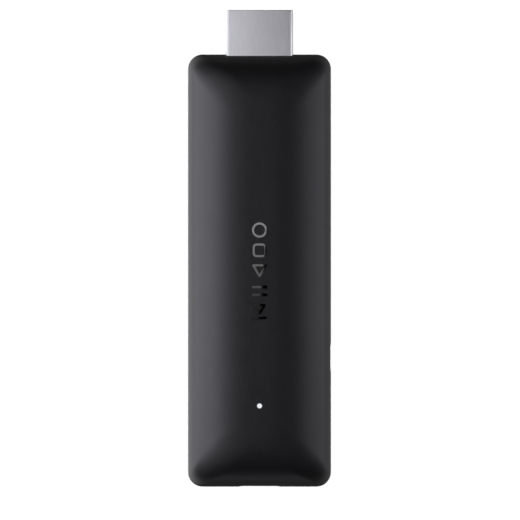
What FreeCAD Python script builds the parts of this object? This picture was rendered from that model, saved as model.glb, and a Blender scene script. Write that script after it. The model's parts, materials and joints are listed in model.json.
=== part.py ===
import FreeCAD, Part

import math
import os

Vector = FreeCAD.Vector

# A streaming media player in the shape of a stick: a slim black case with an HDMI plug on one end,
# a micro-USB power socket on the other, a status light in the top and a reset button in one side.
#
# Millimetres. +X runs across the case, +Y along it towards the HDMI plug, and +Z up through the top.
# The origin is the centre of the flat rest face under the case. The case parts at half its height,
# and that plane is also the middle of the plug, the socket, the button and the circuit board.

# ---- Driving dimensions -------------------------------------------------------------------------

case_width = 29.7
case_length = 89.9
case_height = 13.0
case_corner = 3.0            # radius of the outline, seen from above
wall = 1.3
crown_flat = 1.5             # half width of the level strip along the top
crown_roll = 12.0            # how far in from each end the top starts to fall
base_flat = 6.0              # half width of the rest face
base_roll = 10.0
pillow_power = 2.5           # 2 gives an elliptical section, and a higher power a squarer one
pillow_slices = 14

plug_width = 13.9            # HDMI type A plug
plug_height = 4.45
plug_length = 9.2            # how far the plug stands out of the case
plug_round = 0.65
plug_foot = 10.7             # width of the plug's narrow lower face
plug_side = 2.75             # height of its upright sides
plug_sheet = 0.3

socket_width = 7.4           # micro-USB B socket, over its shell
socket_height = 2.4
socket_foot = 5.8
socket_side = 1.45
socket_sheet = 0.25
socket_flare = 0.28          # how far the shell's lip spreads

light_y = -28.0
light_radius = 0.55
button_y = -18.0
button_length = 6.0
button_height = 2.4
button_travel = 0.3

board_width = 24.4
board_thick = 1.0
board_y0 = -42.9
board_y1 = 39.0

sheet = 0.2                  # thin formed metal inside the case
fit_gap = 0.05               # between pieces assembled face to face
slide_gap = 0.15             # around the button's cap

# ---- Worked out from them -----------------------------------------------------------------------

half_x = case_width / 2
half_y = case_length / 2
mid_z = case_height / 2
board_x = board_width / 2
board_top = mid_z + board_thick / 2
board_bottom = mid_z - board_thick / 2
plug_tip = half_y + plug_length
socket_face = -half_y + 0.4

# ---- Where the fastenings are -------------------------------------------------------------------

screw_spots = [(-9.8, 31.0), (9.8, 31.0), (-9.6, -27.5), (9.6, -27.5)]
screw_hole = 0.95            # radius, in the board and in the heat spreader's feet
pin_spots = [(10.2, -12.6), (-10.2, 24.5)]
pin_radius = 0.62
hook_rows = (-31.0, -5.0, 21.0)
hook_width = 4.0
hook_inside = 11.4
hook_thick = 0.7
rest_rib_rows = (-37.0, -24.0, 9.0, 34.0)

# ---- Levels of what is stacked on the board's upper face, from the board upwards ----------------

chip_height = 1.0
pad_height = 0.6
lid_under = board_top + chip_height + pad_height
lid_top = lid_under + sheet
spreader_under = lid_top + 1.0
spreader_thick = 0.6
spreader_top = spreader_under + spreader_thick

os.makedirs("parts", exist_ok=True)


# ---- Helpers ------------------------------------------------------------------------------------

def box(x0, x1, y0, y1, z0, z1):
    return Part.makeBox(x1 - x0, y1 - y0, z1 - z0, Vector(x0, y0, z0))


def slab(x, y, width, length, z0, z1):
    """A box given by the middle of its outline, its size across and along, and its two levels."""
    return box(x - width / 2, x + width / 2, y - length / 2, y + length / 2, z0, z1)


def upright(x, y, radius, z0, z1):
    return Part.makeCylinder(radius, z1 - z0, Vector(x, y, z0))


def group(solids):
    """Separate solids that share one node."""
    return Part.makeCompound(solids)


def joined(shapes):
    return shapes[0].multiFuse(shapes[1:]).removeSplitter()


def cut_away(shape, tools):
    for tool in tools:
        shape = shape.cut(tool)
    return shape


def both_sides(shape):
    """The shape and its mirror image across the middle plane X = 0."""
    return [shape, shape.mirror(Vector(0, 0, 0), Vector(1, 0, 0))]


def flipped(shape):
    """The shape turned over to the other face of the circuit board."""
    return shape.mirror(Vector(0, 0, mid_z), Vector(0, 0, 1))


def edges_at(shape, axis, place):
    """The edges that lie wholly in the plane where one coordinate has one value."""
    return [e for e in shape.Edges if all(abs(getattr(v, axis) - place) < 1e-6 for v in e.Vertexes)]


def rounded_outline(corners, radius, place):
    """A closed wire through 2-D corners, each rounded to a radius, put in space by place(u, v)."""
    arcs = []
    count = len(corners)
    for i in range(count):
        corner = Vector(*corners[i], 0)
        back = (Vector(*corners[i - 1], 0) - corner).normalize()
        ahead = (Vector(*corners[(i + 1) % count], 0) - corner).normalize()
        half_angle = back.getAngle(ahead) / 2
        start = corner + back * (radius / math.tan(half_angle))
        end = corner + ahead * (radius / math.tan(half_angle))
        middle = corner + (back + ahead).normalize() * (radius / math.sin(half_angle) - radius)
        arcs.append([place(p.x, p.y) for p in (start, middle, end)])
    edges = []
    for i, (start, middle, end) in enumerate(arcs):
        edges.append(Part.Arc(start, middle, end).toShape())
        following = arcs[(i + 1) % count][0]
        if (following - end).Length > 1e-6:
            edges.append(Part.LineSegment(end, following).toShape())
    return Part.Wire(edges)


def rectangle(half_width, half_length, radius, place):
    corners = [(half_width, half_length), (-half_width, half_length),
               (-half_width, -half_length), (half_width, -half_length)]
    return rounded_outline(corners, radius, place)


def prism(wire, along):
    return Part.Face(wire).extrude(along)


def rounded_slab(half_width, half_length, radius, z0, z1):
    return prism(rectangle(half_width, half_length, radius, lambda u, v: Vector(u, v, z0)),
                 Vector(0, 0, z1 - z0))


def ribbon(path, thick, width, place):
    """A formed strip of sheet metal: a 2-D path thickened to both sides, width wide along w."""
    points = [Vector(u, v, 0) for u, v in path]
    left = []
    right = []
    for i, point in enumerate(points):
        into = (point - points[i - 1]).normalize() if i else None
        out = (points[i + 1] - point).normalize() if i + 1 < len(points) else into
        into = into or out
        mitre = Vector(-into.y - out.y, into.x + out.x, 0).normalize()
        reach = thick / 2 / (mitre.y * out.x - mitre.x * out.y)
        left.append(point + mitre * reach)
        right.append(point - mitre * reach)
    ring = [place(p.x, p.y, -width / 2) for p in left + right[::-1]]
    across = place(0, 0, width) - place(0, 0, 0)
    return Part.Face(Part.makePolygon(ring + ring[:1])).extrude(across)


# ---- The case's pillow form ---------------------------------------------------------------------

def pillow(inset, flat, roll, up):
    """One half of the case, shrunk by inset: level slices whose size follows a superellipse.

    The outline is a rounded rectangle at the parting plane. Towards the top or the base it draws
    in to a narrow level strip, and its corners grow rounder on the way, so nothing is creased.
    """
    reach_x = half_x - inset
    reach_y = half_y - inset
    sharpness = (case_corner - inset) / reach_x
    slices = []
    for i in range(pillow_slices + 1):
        angle = math.radians(90 * i / pillow_slices)
        spread = max(math.cos(angle), 0) ** (2 / pillow_power) if i < pillow_slices else 0
        slice_x = flat + (reach_x - flat) * spread
        slice_y = reach_y - roll * (1 - spread)
        roundness = sharpness + (0.95 - sharpness) * (1 - spread)
        level = mid_z + up * (mid_z - inset) * math.sin(angle) ** (2 / pillow_power)
        slices.append(rectangle(slice_x, slice_y, slice_x * roundness,
                                lambda u, v, z=level: Vector(u, v, z)))
    return Part.makeLoft(slices, True, False)


def upper_pillow(inset):
    return pillow(inset, crown_flat, crown_roll, 1)


def lower_pillow(inset):
    return pillow(inset, base_flat, base_roll, -1)


# ---- HDMI plug ----------------------------------------------------------------------------------

shell_back = board_y1 + 0.2      # the plug's shell stops just in front of the board
insulator_back = board_y1 + 0.1
insulator_front = plug_tip - 0.35
mouth_half_width = 5.6
mouth_half_height = 1.05
mouth_depth = 7.6
contact_pitch = 1.0
contact_width = 0.35
wing_x1 = plug_width / 2
wing_x0 = wing_x1 - plug_sheet
wing_back = shell_back - 2.6     # the shell's two wings straddle the edge of the board
upper_contacts = [(i - 4.5) * contact_pitch for i in range(10)]
lower_contacts = [(i - 4) * contact_pitch for i in range(9)]


def plug_outline(grow, y):
    """The plug's section at y: a rectangle with its two lower corners cut off, grown by grow."""
    top = plug_height / 2
    corners = [(plug_width / 2, top), (-plug_width / 2, top),
               (-plug_width / 2, top - plug_side), (-plug_foot / 2, -top),
               (plug_foot / 2, -top), (plug_width / 2, top - plug_side)]
    wire = rounded_outline(corners, plug_round, lambda u, v: Vector(u, y, mid_z + v))
    return wire.makeOffset2D(grow) if grow else wire


def hdmi_shell():
    length = Vector(0, plug_tip - shell_back, 0)
    tube = prism(plug_outline(0, shell_back), length)
    tube = tube.cut(prism(plug_outline(-plug_sheet, shell_back), length))
    tube = tube.makeFillet(plug_sheet * 0.45, edges_at(tube, "Y", plug_tip))
    wing = box(wing_x0, wing_x1, wing_back, shell_back + 0.5, mid_z - 0.5, mid_z + 1.5)
    shell = joined([tube] + both_sides(wing))
    # The sheet is folded round, and meets in a seam along the middle of the narrow face. A latch
    # window on each side of the seam is where a television's socket grips the plug.
    narrow_face = mid_z - plug_height / 2 + plug_sheet + 0.1
    seam = box(-0.04, 0.04, shell_back - 1, plug_tip + 1, 0, narrow_face)
    window = box(2.1, 3.9, plug_tip - 5.6, plug_tip - 3.4, 0, narrow_face)
    return cut_away(shell, [seam] + both_sides(window))


def hdmi_contact(x):
    """A contact of the upper row: its bowed nose hangs into the mouth, its tail lies on the board."""
    run = mid_z + mouth_half_height + 0.17
    tail = board_top + sheet / 2
    nose = plug_tip - 1.0
    bow = [(nose, run), (nose - 0.5, run - 0.27), (nose - 1.2, run - 0.37), (nose - 2.0, run - 0.28)]
    straight = [(nose - 3.2, run), (board_y1 + 1.3, run)]
    foot = [(board_y1 + 0.6, tail), (board_y1 - 2.4, tail)]
    return ribbon(bow + straight + foot, sheet, contact_width, lambda u, v, w: Vector(x + w, u, v))


def contact_slots(x):
    """The groove that an upper contact lies in, and the deeper step where it drops to the board."""
    side = contact_width / 2 + 0.045
    roof = mid_z + mouth_half_height
    groove = box(x - side, x + side, insulator_back - 1, plug_tip - 0.75, roof - 0.5, roof + 0.3)
    step = box(x - side, x + side, insulator_back - 1, board_y1 + 1.8, board_top - fit_gap, roof)
    return [groove, step]


def hdmi_insulator():
    length = Vector(0, insulator_front - insulator_back, 0)
    body = prism(plug_outline(-plug_sheet - 0.02, insulator_back), length)
    w, h, lower_cut = mouth_half_width, mouth_half_height, 0.7
    corners = [(w, h), (-w, h), (-w, lower_cut - h),
               (lower_cut - w, -h), (w - lower_cut, -h), (w, lower_cut - h)]
    mouth = prism(rounded_outline(corners, 0.15, lambda u, v: Vector(u, plug_tip, mid_z + v)),
                  Vector(0, -mouth_depth, 0))
    slots = [s for x in upper_contacts for s in contact_slots(x)]
    slots += [flipped(s) for x in lower_contacts for s in contact_slots(x)]
    return cut_away(body, [mouth] + slots)


# ---- Micro-USB socket ---------------------------------------------------------------------------

socket_back = -39.6
block_front = -41.2
block_back = -39.2
tongue_under = mid_z + 0.12
tongue_thick = 0.6
pin_sheet = 0.15
socket_contacts = [(i - 2) * 0.65 for i in range(5)]
socket_tab_rows = (-42.1, -40.1)


def socket_outline(grow, y):
    """The socket's section at y: its wide side is up, and its lower corners are cut off."""
    top = socket_height / 2
    corners = [(socket_width / 2, top), (-socket_width / 2, top),
               (-socket_width / 2, top - socket_side), (-socket_foot / 2, -top),
               (socket_foot / 2, -top), (socket_width / 2, top - socket_side)]
    wire = rounded_outline(corners, 0.4, lambda u, v: Vector(u, y, mid_z + v))
    return wire.makeOffset2D(grow) if grow else wire


def usb_shell():
    lip_back = socket_face + 0.35
    back = Vector(0, socket_back - lip_back, 0)
    tube = prism(socket_outline(0, lip_back), back)
    bore = prism(socket_outline(-socket_sheet, lip_back), back)

    def flared(inset):
        ends = [socket_outline(-inset, lip_back), socket_outline(socket_flare - inset, socket_face)]
        return Part.makeLoft(ends, True, True)

    tabs = []
    for y in socket_tab_rows:
        tab = box(socket_width / 2 - 0.05, 5.0, y - 0.5, y + 0.5, board_top, board_top + socket_sheet)
        leg = box(4.55, 4.85, y - 0.35, y + 0.35, board_bottom - 0.4, board_top + 0.1)
        tabs += both_sides(tab) + both_sides(leg)
    return joined([tube.cut(bore), flared(0).cut(flared(socket_sheet))] + tabs)


def usb_contact(x):
    level = tongue_under - pin_sheet / 2
    tail = board_top + pin_sheet / 2
    path = [(socket_face + 0.65, level), (-39.8, level), (-39.3, tail), (-37.6, tail)]
    return ribbon(path, pin_sheet, 0.3, lambda u, v, w: Vector(x + w, u, v))


def usb_tongue():
    length = Vector(0, block_front - block_back, 0)
    block = prism(socket_outline(-socket_sheet - 0.02, block_back), length)
    tip = socket_face + 0.45
    tongue = box(-2.2, 2.2, tip, block_front + 0.2, tongue_under, tongue_under + tongue_thick)
    body = joined([block, tongue.makeFillet(0.15, edges_at(tongue, "Y", tip))])
    slots = []
    for x in socket_contacts:
        slots.append(box(x - 0.17, x + 0.17, block_front - 0.1, -39.85, tongue_under - 0.2, tongue_under))
        slots.append(box(x - 0.17, x + 0.17, -39.95, block_back + 0.1, tongue_under - 0.2, board_top + 0.2))
    return cut_away(body, slots)


# ---- Reset button and its switch ----------------------------------------------------------------

stop_x = 13.5                    # floor of the pocket in the wall, where the button's flange stops
flange_x1 = stop_x - 0.02
flange_x0 = flange_x1 - 0.63
pocket_x = flange_x0 - button_travel - 0.65   # the lip and ribs stay clear of the pressed button
cap_x = half_x - 0.13
switch_x0 = 8.7
switch_x1 = 11.8
switch_half = 2.3
switch_z0 = mid_z - 0.8
switch_z1 = mid_z + 0.8
cavity_x0 = 9.75
cavity_x1 = 11.15
dome_rise = 0.55
dome_half = 1.45
dome_sheet = 0.08


def button_outline(grow, x):
    """The round-ended outline of the button's cap at x."""
    return rectangle(button_length / 2 + grow, button_height / 2 + grow, button_height / 2 + grow,
                     lambda u, v: Vector(x, button_y + u, mid_z + v))


def reset_button():
    cap = prism(button_outline(0, flange_x1 - 0.1), Vector(cap_x - flange_x1 + 0.1, 0, 0))
    cap = cap.makeFillet(0.35, edges_at(cap, "X", cap_x))
    flange = prism(rectangle(3.7, 1.7, 0.8, lambda u, v: Vector(flange_x0, button_y + u, mid_z + v)),
                   Vector(flange_x1 - flange_x0, 0, 0))
    return joined([cap, flange])


def button_openings():
    """What the case leaves free for the button: a hole for its cap, and a pocket for its flange."""
    hole = prism(button_outline(slide_gap, stop_x - 1), Vector(3, 0, 0))
    pocket = box(pocket_x, stop_x, button_y - 3.95, button_y + 3.95, mid_z - 1.95, mid_z + 1.95)
    return [hole, pocket]


def switch_housing():
    body = box(switch_x0, switch_x1, button_y - switch_half, button_y + switch_half, switch_z0, switch_z1)
    cavity = box(cavity_x0, cavity_x1, button_y - 1.7, button_y + 1.7, switch_z0 + 0.3, switch_z1)
    doorway = box(cavity_x1, switch_x1, button_y - 1.0, button_y + 1.0, switch_z0 + 0.3, switch_z1)
    return cut_away(body, [cavity, doorway])


def switch_cover():
    plate_sheet = 0.15
    plate = box(switch_x0 + 0.05, switch_x1, button_y - switch_half, button_y + switch_half,
                switch_z1, switch_z1 + plate_sheet)
    pieces = [plate]
    for side in (-1, 1):
        y = sorted((button_y + side * switch_half, button_y + side * (switch_half + plate_sheet)))
        pieces.append(box(9.95, 10.55, y[0], y[1], switch_z0 + 0.4, switch_z1 + plate_sheet))
    return joined(pieces)


def switch_plunger():
    head_x0, head_x1 = cavity_x1 - 0.75, cavity_x1 - fit_gap
    head = box(head_x0, head_x1, button_y - 1.5, button_y + 1.5, mid_z - 0.45, mid_z + 0.6)
    stem_x1 = flange_x0 - fit_gap
    stem = box(head_x1 - 0.05, stem_x1, button_y - 0.9, button_y + 0.9, mid_z - 0.4, mid_z + 0.5)
    return joined([head, stem])


def switch_dome():
    """An arched leaf whose ends bear on the housing, and whose crown bears on the plunger."""
    base = cavity_x0 + 0.01
    low = mid_z - 0.4

    def arch(inset):
        points = [Vector(base, button_y - dome_half + inset, low),
                  Vector(base + dome_rise - inset, button_y, low),
                  Vector(base, button_y + dome_half - inset, low)]
        return points, Part.Arc(*points).toShape()

    outer, outer_arc = arch(0)
    inner, inner_arc = arch(dome_sheet)
    near_end = Part.LineSegment(outer[0], inner[0]).toShape()
    far_end = Part.LineSegment(inner[2], outer[2]).toShape()
    edges = Part.__sortEdges__([outer_arc, far_end, inner_arc, near_end])
    return prism(Part.Wire(edges), Vector(0, 0, 0.8))


def switch_terminals():
    tabs = []
    for x in (switch_x0 + 0.85, switch_x0 + 2.3):
        for side in (-1, 1):
            y = sorted((button_y + side * switch_half, button_y + side * (switch_half + 1.2)))
            tabs.append(box(x - 0.28, x + 0.28, y[0], y[1], board_top, board_top + 0.15))
    return group(tabs)


# ---- Status light -------------------------------------------------------------------------------

led_width = 0.8
led_body_top = board_top + 0.25
led_lens_top = board_top + 0.6
pipe_flange = 1.2
pipe_flange_z = (10.9, 11.65)


def light_pipe():
    """Carries the light from the board up to the top of the case, where it ends in a shallow dish."""
    tip = case_height - 0.03
    stem = upright(0, light_y, light_radius, led_lens_top + 0.25, tip)
    flange = upright(0, light_y, pipe_flange, *pipe_flange_z)
    dish = Part.makeSphere(0.6, Vector(0, light_y, tip + 0.5))
    return joined([stem, flange]).cut(dish)


# ---- Glossy marks inlaid in the top -------------------------------------------------------------

mark_thick = 0.2
mark_stroke = 0.5
mark_half = 1.6
mark_pitch = 4.2
mark_gap = 0.03


def mark_prisms(grow):
    """Five plain media-control symbols in a row along the case: ring, square, play, pause, skip.

    Each is an upright prism through the top surface. A positive grow gives its recess.
    """
    z0 = case_height - mark_thick

    def placed(index):
        middle = (2 - index) * mark_pitch
        # A symbol's own right-hand side, u, points down the case, and its v across it.
        return lambda u, v: Vector(v, middle - u, z0)

    def solid(wire):
        return prism(wire, Vector(0, 0, 1))

    def hollow(corners, radius, place):
        wire = rounded_outline(corners, radius, place)
        outer = wire.makeOffset2D(grow) if grow else wire
        return solid(outer).cut(solid(wire.makeOffset2D(-mark_stroke - grow)))

    def bar(place, u0, u1, half):
        corners = [(u1 + grow, half + grow), (u0 - grow, half + grow),
                   (u0 - grow, -half - grow), (u1 + grow, -half - grow)]
        return solid(rounded_outline(corners, 0.1 + grow, place))

    def play(place, u0, u1, half):
        return hollow([(u1, 0), (u0, half), (u0, -half)], 0.3, place)

    size = mark_half
    centre = placed(0)(0, 0)
    ring = Part.makeCylinder(size + grow, 1, centre).cut(
        Part.makeCylinder(size - mark_stroke - grow, 1, centre))
    side = 1.45
    square_corners = [(side, side), (-side, side), (-side, -side), (side, -side)]
    square = hollow(square_corners, 0.35 + mark_stroke, placed(1))
    triangle = play(placed(2), -1.35, 1.65, 1.75)
    pause = [bar(placed(3), -1.1, -0.5, size), bar(placed(3), 0.5, 1.1, size)]
    skip = [play(placed(4), -1.5, 0.95, 1.5), bar(placed(4), 1.15, 1.15 + mark_stroke, side)]
    return [ring, square, triangle] + pause + skip


def front_marks(outer):
    return group([mark.common(outer) for mark in mark_prisms(0)])


# ---- The two halves of the case -----------------------------------------------------------------

lip_height = 0.8
lip_outset = 0.77                # from the outer face of the case to the lip's own outer face
seam_depth = 0.15
seam_height = 0.12
catch_z = (7.45, 8.05)


def plug_hole():
    return prism(plug_outline(0.1, 39.5), Vector(0, 8, 0))


def socket_hole():
    return prism(rectangle(4.15, 1.68, 0.8, lambda u, v: Vector(u, -half_y - 1, mid_z + v)),
                 Vector(0, 3, 0))


def outline_ring(outer_inset, inner_inset, z0, z1):
    """A ring that follows the case's outline, between two depths measured in from its outer face."""
    def filled(inset):
        return rounded_slab(half_x - inset, half_y - inset, max(case_corner - inset, 1.0), z0, z1)

    return filled(outer_inset).cut(filled(inner_inset))


def top_cover(outer):
    shell = outer.cut(upper_pillow(wall))
    rebate = outline_ring(lip_outset - fit_gap, wall + 1, mid_z, mid_z + lip_height + fit_gap)
    seam = outline_ring(-1, seam_depth, mid_z, mid_z + seam_height)
    shell = cut_away(shell, [rebate, seam])
    features = both_sides(box(5.1, 5.9, -6, 24, spreader_top + fit_gap, case_height))
    features.append(upright(0, light_y, 1.9, 10.4, case_height))
    features.append(box(-9.5, 9.5, 40.6, 41.6, mid_z, case_height))
    features.append(box(-5, 5, -41.6, -40.8, mid_z + socket_height / 2 + fit_gap, case_height))
    for y in hook_rows:
        catch = box(hook_inside + hook_thick + 0.1, half_x, y - hook_width / 2, y + hook_width / 2, *catch_z)
        features += both_sides(catch)
    core = upper_pillow(wall / 2)
    shell = joined([shell] + [f.common(core) for f in features])
    holes = [plug_hole(), socket_hole()] + button_openings()
    holes.append(upright(0, light_y, light_radius + fit_gap, 9, case_height + 1))
    holes.append(upright(0, light_y, pipe_flange + fit_gap, 9, pipe_flange_z[1] + fit_gap))
    return cut_away(shell, holes + mark_prisms(mark_gap))


label_y = 18.0
label_half = (5.0, 14.0)
label_recess = 0.15
boss_radius = 1.75
boss_hole = 0.82
barb = 0.5


def hook(y):
    """A snap hook that rises past the board's edge, with its barb outwards over the cover's catch."""
    x0 = hook_inside
    x1 = x0 + hook_thick
    top = catch_z[1] + fit_gap + 0.7
    profile = [(x0, 2.0), (x0, top), (x1 - 0.1, top), (x1 + barb, top - 0.5),
               (x1 + barb, catch_z[1] + fit_gap), (x1, catch_z[1] + fit_gap), (x1, 2.0)]
    ring = [Vector(x, y - hook_width / 2, z) for x, z in profile]
    return prism(Part.makePolygon(ring + ring[:1]), Vector(0, hook_width, 0))


def bottom_cover():
    shell = lower_pillow(0).cut(lower_pillow(wall))
    core = lower_pillow(wall / 2)
    below = [upright(x, y, boss_radius, 0, board_bottom) for x, y in screw_spots]
    below += [upright(x, y, 1.3, 0, board_bottom) for x, y in pin_spots]
    below.append(box(-9.5, 9.5, 40.6, 41.6, 0, mid_z))
    below.append(box(-5, 5, -41.6, -40.8, 0, mid_z - socket_height / 2 - fit_gap))
    below += both_sides(box(6.4, 7.2, 2, 19.5, 0, 3.6))
    for y in rest_rib_rows:
        below += both_sides(box(11.5, half_x, y - 0.4, y + 0.4, 0, board_bottom))
    above = [outline_ring(lip_outset, wall, mid_z - 0.6, mid_z + lip_height)]
    for y in hook_rows:
        above += both_sides(hook(y))
    for x, y in pin_spots:
        pin = upright(x, y, pin_radius, board_bottom - 0.5, board_top + 0.5)
        above.append(pin.makeChamfer(0.2, edges_at(pin, "Z", board_top + 0.5)))
    shell = joined([shell] + [b.common(core) for b in below] + above)
    holes = [plug_hole(), socket_hole()] + button_openings()
    holes += [upright(x, y, boss_hole, 2.4, board_bottom + 1) for x, y in screw_spots]
    recess = rounded_slab(*label_half, 1.0, -1, label_recess)
    recess.translate(Vector(0, label_y, 0))
    return cut_away(shell, holes + [recess])


def rating_label():
    """A blank label, stuck to the roof of its recess under the case."""
    label = rounded_slab(label_half[0] - 0.15, label_half[1] - 0.15, 0.85, label_recess - 0.1, label_recess)
    label.translate(Vector(0, label_y, 0))
    return label


# ---- Circuit board ------------------------------------------------------------------------------

def main_board():
    middle = (board_y0 + board_y1) / 2
    board = rounded_slab(board_x, (board_y1 - board_y0) / 2, 1.2, board_bottom, board_top)
    board.translate(Vector(0, middle, 0))
    low, high = board_bottom - 1, board_top + 1
    gaps = [box(-3.95, 3.95, board_y0 - 1, -39.0, low, high)]
    gaps.append(box(8.5, board_x + 1, button_y - 2.5, button_y + 2.5, low, high))
    for y in hook_rows:
        gaps += both_sides(box(hook_inside - 0.15, board_x + 1, y - 2.3, y + 2.3, low, high))
    gaps += both_sides(box(wing_x0 - 0.1, wing_x1 + 0.1, wing_back - 0.3, board_y1 + 1, low, high))
    for y in socket_tab_rows:
        gaps += both_sides(box(4.45, 4.95, y - 0.45, y + 0.45, low, high))
    gaps += [upright(x, y, screw_hole, low, high) for x, y in screw_spots]
    gaps += [upright(x, y, pin_radius + 0.08, low, high) for x, y in pin_spots]
    return cut_away(board, gaps)


def package(x, y, width, length, height, edge=0.1):
    """A moulded chip package on the board's upper face, with its upper rim chamfered."""
    body = slab(x, y, width, length, board_top, board_top + height)
    return body.makeChamfer(edge, edges_at(body, "Z", board_top + height))


def processor():
    carrier = slab(-3.5, -2.8, 12, 12, board_top, board_top + 0.35)
    cap = slab(-3.5, -2.8, 10.6, 10.6, board_top + 0.35, board_top + chip_height)
    return joined([carrier, cap.makeChamfer(0.12, edges_at(cap, "Z", board_top + chip_height))])


def memory_chips():
    return group(both_sides(package(4.6, 10.9, 7.5, 12.5, chip_height)))


def inner_pads():
    """Soft pads that fill the gap between the hot chips and the shield's lid."""
    z0 = board_top + chip_height
    return group([slab(-3.5, -2.8, 9.6, 9.6, z0, lid_under), slab(0, 10.9, 14.4, 10, z0, lid_under)])


def flash_chip():
    return flipped(package(0, 10, 11.5, 13, 0.9))


def power_chips():
    upper = [package(6.8, -4.5, 5, 5, 0.8), package(0, -33, 3, 3, 0.8)]
    upper.append(package(5.8, -28.5, 3, 3, 0.8))
    return group(upper + [flipped(package(0, -6, 6, 6, 0.85))])


def signal_chips():
    row = [package(x, 33.6, 2.4, 1.1, 0.55, 0.06) for x in (-3.4, 0, 3.4)]
    return group(row + [flipped(s) for s in row])


def shield_frame():
    """The soldered fence round the processor and memory, with an inward rim and one cross bar."""
    z1 = lid_under - fit_gap
    outer = box(-10.5, 10.5, -10, 18, board_top, z1)
    room = box(-10.5 + sheet, 10.5 - sheet, -10 + sheet, 18 - sheet, board_top, z1 - sheet)
    window = box(-9.7, 9.7, -9.2, 3.4, board_top, z1)
    other_window = box(-9.7, 9.7, 4.2, 17.2, board_top, z1)
    return cut_away(outer, [room, window, other_window])


def shield_lid():
    skirt = 10.5 + fit_gap + sheet
    lid = box(-skirt, skirt, -10.25, 18.25, board_top + 0.4, lid_top)
    lid = lid.makeFillet(0.3, edges_at(lid, "Z", lid_top))
    room = box(sheet - skirt, skirt - sheet, -10.25 + sheet, 18.25 - sheet, board_top, lid_under)
    # Slots in the skirt leave springy fingers that grip the frame.
    slots = []
    for i in range(-4, 5):
        slots.append(box(i * 2.2 - 0.2, i * 2.2 + 0.2, -11, 19, board_top, board_top + 1.0))
        slots.append(box(-12, 12, 4 + i * 2.8 - 0.2, 4 + i * 2.8 + 0.2, board_top, board_top + 1.0))
    return cut_away(lid, [room] + slots)


def upper_pad():
    return slab(0, 4, 16, 22, lid_top, spreader_under)


def upper_spreader():
    """An aluminium plate over the shield. Its two feet are held by the screws at the plug's end."""
    plate = box(-9, 9, -9.5, 27.6, spreader_under, spreader_top)
    leg = box(6.8, 9, 27.0, 27.6, board_top, spreader_top)
    foot = box(6.8, 11.3, 27.0, 32.8, board_top, board_top + spreader_thick)
    spreader = joined([plate] + both_sides(leg) + both_sides(foot))
    holes = [upright(x, y, screw_hole, board_top - 1, board_top + 2) for x, y in screw_spots[:2]]
    grip = box(-2, 2, 25, 28, spreader_under - 1, spreader_top + 1)
    return cut_away(spreader, holes + [grip])


def lower_pad():
    return flipped(slab(0, 10, 11, 12, board_top + 0.9, board_top + 1.8))


def lower_spreader():
    """A smaller plate under the flash memory. It rests on two ribs of the bottom cover."""
    plate = flipped(slab(0, 10.75, 17, 20.5, board_top + 1.8, board_top + 1.8 + spreader_thick))
    corners = [e for e in plate.Edges if e.BoundBox.XLength < 1e-6 and e.BoundBox.YLength < 1e-6]
    return plate.makeFillet(1.0, corners)


def ground_springs():
    """Bent fingers that stand on the board, and press the upper heat spreader's earth contact."""
    path = [(25.5, board_top + 0.075), (22.9, board_top + 0.075), (22.3, board_top + 0.7),
            (22.6, board_top + 1.5), (25.0, spreader_under - 0.11), (26.0, spreader_under - 0.35)]
    return group([ribbon(path, 0.15, 1.5, lambda u, v, w, x=x: Vector(x + w, u, v)) for x in (-4.5, 4.5)])


# ---- Radio --------------------------------------------------------------------------------------

radio_x = -4.5
radio_y = -18.0


def radio_module():
    """The Wi-Fi module's own small board, with half-round solder notches along two edges."""
    carrier = slab(radio_x, radio_y, 12, 12, board_top, board_top + 0.6)
    notches = []
    for i in range(-5, 6):
        for side in (-6, 6):
            notches.append(upright(radio_x + side, radio_y + i, 0.25, board_top - 1, board_top + 2))
    return cut_away(carrier, notches)


def radio_can():
    can = slab(radio_x, radio_y, 11, 11, board_top + 0.6, board_top + 2.0)
    can = can.makeFillet(0.3, edges_at(can, "Z", board_top + 2.0))
    room = slab(radio_x, radio_y, 11 - 2 * sheet, 11 - 2 * sheet, board_top + 0.5, board_top + 2.0 - sheet)
    return can.cut(room)


def antenna():
    """A stamped antenna on three legs: its plate is slotted from both sides into a meander."""
    z1 = board_top + 2.1
    plate = box(6.0, 11.2, -41.4, -35.6, z1 - sheet, z1)
    slots = [box(6.9, 12, -40.2, -39.8, 0, z1 + 1), box(5, 10.3, -38.7, -38.3, 0, z1 + 1),
             box(6.9, 12, -37.2, -36.8, 0, z1 + 1)]
    legs = [box(6.0, 6.0 + sheet, -36.6, -35.6, board_top, z1),
            box(6.0, 6.0 + sheet, -41.4, -40.6, board_top, z1),
            box(11.2 - sheet, 11.2, -39.6, -38.9, board_top, z1)]
    return joined([cut_away(plate, slots)] + legs)


# ---- Small parts on the board -------------------------------------------------------------------

def chip_part_places():
    """Rows of 1 mm chip capacitors and resistors: x, y, and whether each is on the lower face."""
    places = [(x * 1.3, 29.6, False) for x in range(-4, 5)]
    places += [(x * 1.5, 20.0, False) for x in range(-6, 7)]
    places += [(3.4, -23 + i * 1.7, False) for i in range(7)]
    places += [(x * 1.25, -36.2, False) for x in range(-2, 3)]
    places += [(side * 8.0, 5 + i * 1.8, True) for side in (-1, 1) for i in range(6)]
    places += [(x * 1.6, -12.3, True) for x in range(-5, 6)]
    places += [(x * 1.3, 29.6, True) for x in range(-4, 5)]
    return places


def chip_parts():
    """The bodies of the capacitors, those of the resistors, and the metal ends of both."""
    capacitors, resistors, ends = [], [], []
    for i, (x, y, under) in enumerate(chip_part_places()):
        height, bodies = (0.5, capacitors) if i % 2 == 0 else (0.35, resistors)
        z1 = board_top + height
        pieces = [slab(x, y, 0.5, 0.56, board_top, z1)]
        pieces += [slab(x, y + side * 0.39, 0.5, 0.22, board_top, z1) for side in (-1, 1)]
        if under:
            pieces = [flipped(p) for p in pieces]
        bodies.append(pieces[0])
        ends += pieces[1:]
    return group(capacitors), group(resistors), group(ends)


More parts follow.
